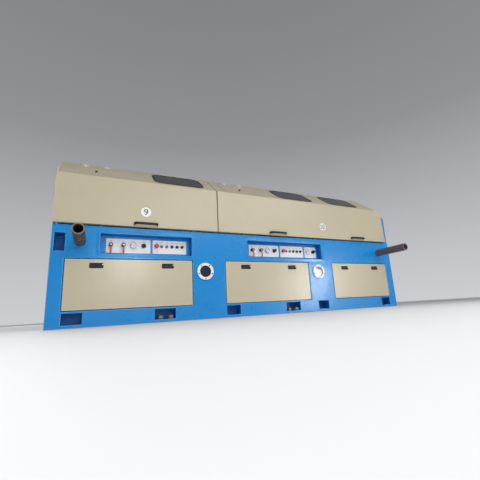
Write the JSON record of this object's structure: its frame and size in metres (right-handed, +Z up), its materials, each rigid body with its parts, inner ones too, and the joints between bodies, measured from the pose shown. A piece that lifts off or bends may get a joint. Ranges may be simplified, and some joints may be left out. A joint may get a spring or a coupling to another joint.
{
  "type": "wire drawing machine",
  "caption": "Straight-line wire drawing machine section with a closed steel bed, recessed controls, liftable hoods over the drawing blocks and through lifting pipes.",
  "frame": {"origin": "middle of the footprint, on the floor under the base plate", "axes": "+X along the wire line towards the outlet, +Y from the operator's side to the back, +Z up"},
  "size_m": [4, 1.966, 1.574],
  "materials": {
    "blue_paint": "gloss",
    "cream_paint": "semi-gloss",
    "black_plastic": "satin",
    "white_panel": "satin",
    "gauge_case": "polished",
    "green_plastic": "gloss",
    "red_plastic": "gloss",
    "dark_glass": "gloss",
    "rusty_steel": "rusty",
    "bright_steel": "satin",
    "black_rubber": "matte",
    "block_iron": "machined",
    "grey_paint": "satin"
  },
  "bodies": {
    "bed": {"base_plate": "blue_paint", "front_plate": "blue_paint", "rear_plate": "blue_paint", "end_plates": "blue_paint", "deck_plate": "blue_paint", "outlet_wall": "blue_paint", "rear_wall": "cream_paint", "front_covers": "cream_paint", "rear_covers": "cream_paint", "cover_latches": "black_plastic", "control_recesses": "blue_paint", "control_plates": "white_panel", "pressure_gauges": "gauge_case", "control_knobs": "black_plastic", "start_buttons": "green_plastic", "stop_buttons": "red_plastic", "valve_hubs": "black_plastic", "port_flanges": "white_panel", "port_glasses": "dark_glass", "lifting_pipes": "rusty_steel", "anchor_nuts": "bright_steel", "hood_buffers": "black_rubber", "drawing_blocks": "block_iron", "die_boxes": "grey_paint", "guide_pulley": "block_iron"},
    "hood_9": {"hood_9": "cream_paint", "window_9": "dark_glass", "gasket_9": "black_rubber", "handle_9": "black_plastic", "number_disc_9": "white_panel", "flap_hinges_9": "bright_steel"},
    "flap_9": {"flap_9": "cream_paint", "flap_knob_9": "black_plastic"},
    "hood_10": {"hood_10": "cream_paint", "windows_10": "dark_glass", "gaskets_10": "black_rubber", "handles_10": "black_plastic", "number_disc_10": "white_panel", "flap_hinges_10": "bright_steel"},
    "flap_10": {"flap_10": "cream_paint", "flap_knob_10": "black_plastic"},
    "valve_lever_9a": {"valve_lever_9a": "red_plastic"},
    "valve_lever_9b": {"valve_lever_9b": "red_plastic"},
    "valve_lever_10a": {"valve_lever_10a": "red_plastic"},
    "valve_lever_10b": {"valve_lever_10b": "red_plastic"}
  },
  "joints": [
    {"name": "hood_9_lift", "type": "hinge", "parent": "bed", "child": "hood_9", "pos_m": [-1.27, 0.54, 1.556], "axis": [-1, 0, 0], "range_deg": [0, 70]},
    {"name": "hood_10_lift", "type": "hinge", "parent": "bed", "child": "hood_10", "pos_m": [0.7, 0.54, 1.556], "axis": [-1, 0, 0], "range_deg": [0, 70]},
    {"name": "flap_9_lift", "type": "hinge", "parent": "hood_9", "child": "flap_9", "pos_m": [-1.695, -0.29881, 1.53337], "axis": [-1, 0, 0], "range_deg": [0, 110]},
    {"name": "flap_10_lift", "type": "hinge", "parent": "hood_10", "child": "flap_10", "pos_m": [-0.239, -0.29881, 1.53337], "axis": [-1, 0, 0], "range_deg": [0, 110]},
    {"name": "valve_9a_turn", "type": "hinge", "parent": "bed", "child": "valve_lever_9a", "pos_m": [-1.546, -0.5025, 0.707], "axis": [0, 1, 0], "range_deg": [0, 90]},
    {"name": "valve_9b_turn", "type": "hinge", "parent": "bed", "child": "valve_lever_9b", "pos_m": [-1.44, -0.5025, 0.707], "axis": [0, 1, 0], "range_deg": [0, 90]},
    {"name": "valve_10a_turn", "type": "hinge", "parent": "bed", "child": "valve_lever_10a", "pos_m": [-0.11, -0.5025, 0.707], "axis": [0, 1, 0], "range_deg": [0, 90]},
    {"name": "valve_10b_turn", "type": "hinge", "parent": "bed", "child": "valve_lever_10b", "pos_m": [-0.004, -0.5025, 0.707], "axis": [0, 1, 0], "range_deg": [0, 90]}
  ]
}
